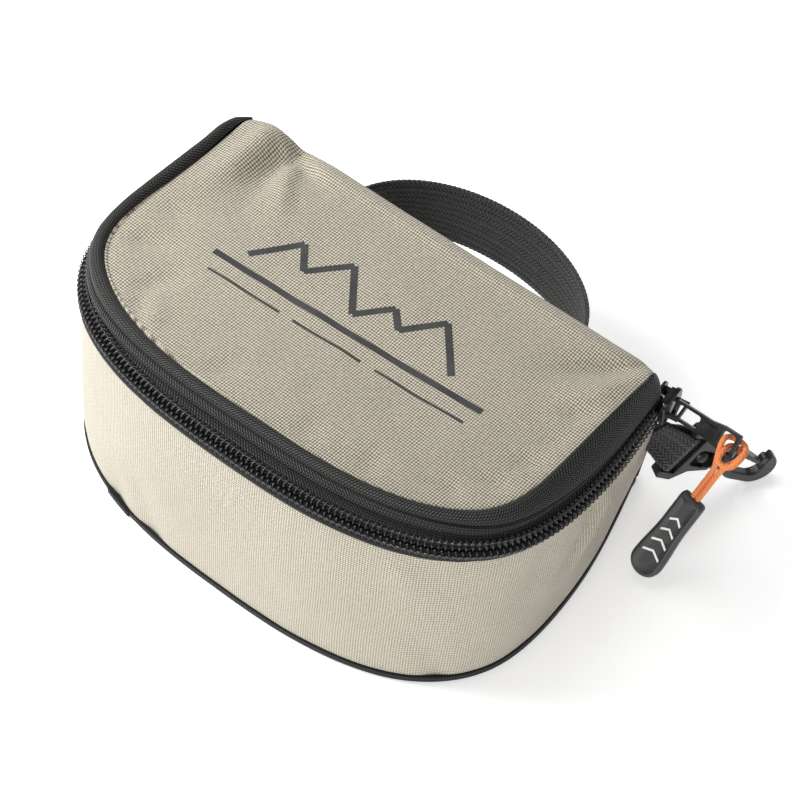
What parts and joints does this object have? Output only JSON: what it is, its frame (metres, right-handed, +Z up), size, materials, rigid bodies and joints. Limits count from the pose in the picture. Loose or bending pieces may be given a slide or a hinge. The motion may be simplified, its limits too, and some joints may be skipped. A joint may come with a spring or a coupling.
{
  "type": "zipped carry case",
  "caption": "D-shaped zipped fabric carry case for micro crampons, with a hinged lid, webbing handle, cord zip pull and swivel snap hook.",
  "frame": {"origin": "on the underside of the base, in the middle of its length and depth", "axes": "+Z up; +X along the straight spine; +Y from the rounded front towards the spine"},
  "size_m": [0.2378, 0.1735, 0.0834],
  "materials": {
    "beige_canvas": "coarse plain weave, matt",
    "black_twill": "twill tape, matt",
    "black_lining": "smooth woven lining",
    "foam": "closed-cell foam sheet",
    "zip_nylon": "satin nylon coil",
    "black_webbing": "ribbed woven webbing",
    "slider_metal": "satin black lacquer",
    "puller_metal": "gloss black lacquer",
    "orange_cord": "braided cord",
    "tag_rubber": "matt moulded rubber",
    "hook_plastic": "moulded acetal, satin",
    "stitching": "bonded thread"
  },
  "bodies": {
    "case": {"base_panel": "beige_canvas", "base_padding": "foam", "base_lining": "black_lining", "base_binding": "black_twill", "side_wall": "beige_canvas", "rear_wall": "beige_canvas", "wall_padding": "foam", "rear_padding": "foam", "wall_lining": "black_lining", "rear_lining": "black_lining", "zip_tape_lower": "black_twill", "zip_coil_lower": "zip_nylon", "zip_end_stop": "zip_nylon", "handle_ends": "black_webbing", "handle_bartacks": "stitching", "hook_tab": "black_webbing", "spine_fold": "beige_canvas"},
    "lid": {"lid_panel": "beige_canvas", "lid_padding": "foam", "lid_lining": "black_lining", "lid_gusset": "black_twill", "lid_rear_panel": "beige_canvas", "gusset_lining": "black_lining", "zip_tape_upper": "black_twill", "zip_coil_upper": "zip_nylon"},
    "zip_slider": {"slider_body": "slider_metal", "slider_bail": "slider_metal"},
    "zip_puller": {"puller": "puller_metal"},
    "pull_tag": {"pull_cord": "orange_cord", "rubber_tag": "tag_rubber"},
    "handle": {"handle_webbing": "black_webbing"},
    "hook_frame": {"hook_base": "hook_plastic"},
    "hook_swivel": {"snap_hook": "hook_plastic"},
    "hook_latch": {"hook_gate": "hook_plastic"}
  },
  "joints": [
    {"name": "lid_hinge", "type": "hinge", "parent": "case", "child": "lid", "pos_m": [0, 0.0655, 0.0575], "axis": [-1, 0, 0], "range_deg": [0, 105], "deforming": ["spine_fold", "zip_tape_upper", "zip_coil_upper"]},
    {"name": "slider_slide", "type": "slide", "parent": "case", "child": "zip_slider", "axis": [0.1202, -0.9818, 0.1473], "range_m": [0, 0.048], "deforming": ["zip_tape_lower", "zip_coil_lower"]},
    {"name": "puller_hinge", "type": "hinge", "parent": "zip_slider", "child": "zip_puller", "pos_m": [0.1021, 0.063, 0.0584], "axis": [0, -0.6298, -0.7768], "range_deg": [-42, 8]},
    {"name": "tag_swing", "type": "hinge", "parent": "zip_puller", "child": "pull_tag", "pos_m": [0.1276, 0.063, 0.0584], "axis": [0, -0.7768, 0.6298], "range_deg": [-5, 45], "deforming": ["pull_cord"]},
    {"name": "handle_swing", "type": "hinge", "parent": "case", "child": "handle", "pos_m": [0, 0.0666, 0.0375], "axis": [-1, 0, 0], "range_deg": [-25, 30], "deforming": ["handle_ends"]},
    {"name": "hook_pivot", "type": "hinge", "parent": "case", "child": "hook_frame", "pos_m": [0.1043, 0.064, 0.0333], "axis": [-0.3303, -0.5155, -0.7907], "range_deg": [-30, 30]},
    {"name": "hook_spin", "type": "hinge", "parent": "hook_frame", "child": "hook_swivel", "pos_m": [0.11283, 0.07731, 0.02106], "axis": [0.4266, 0.6658, -0.6122], "continuous": true},
    {"name": "gate_flex", "type": "hinge", "parent": "hook_swivel", "child": "hook_latch", "pos_m": [0.11792, 0.08526, 0.02083], "axis": [-0.842, 0.5395, 0], "range_deg": [0, 20], "stiffness_Nm_per_rad": 0.05}
  ]
}
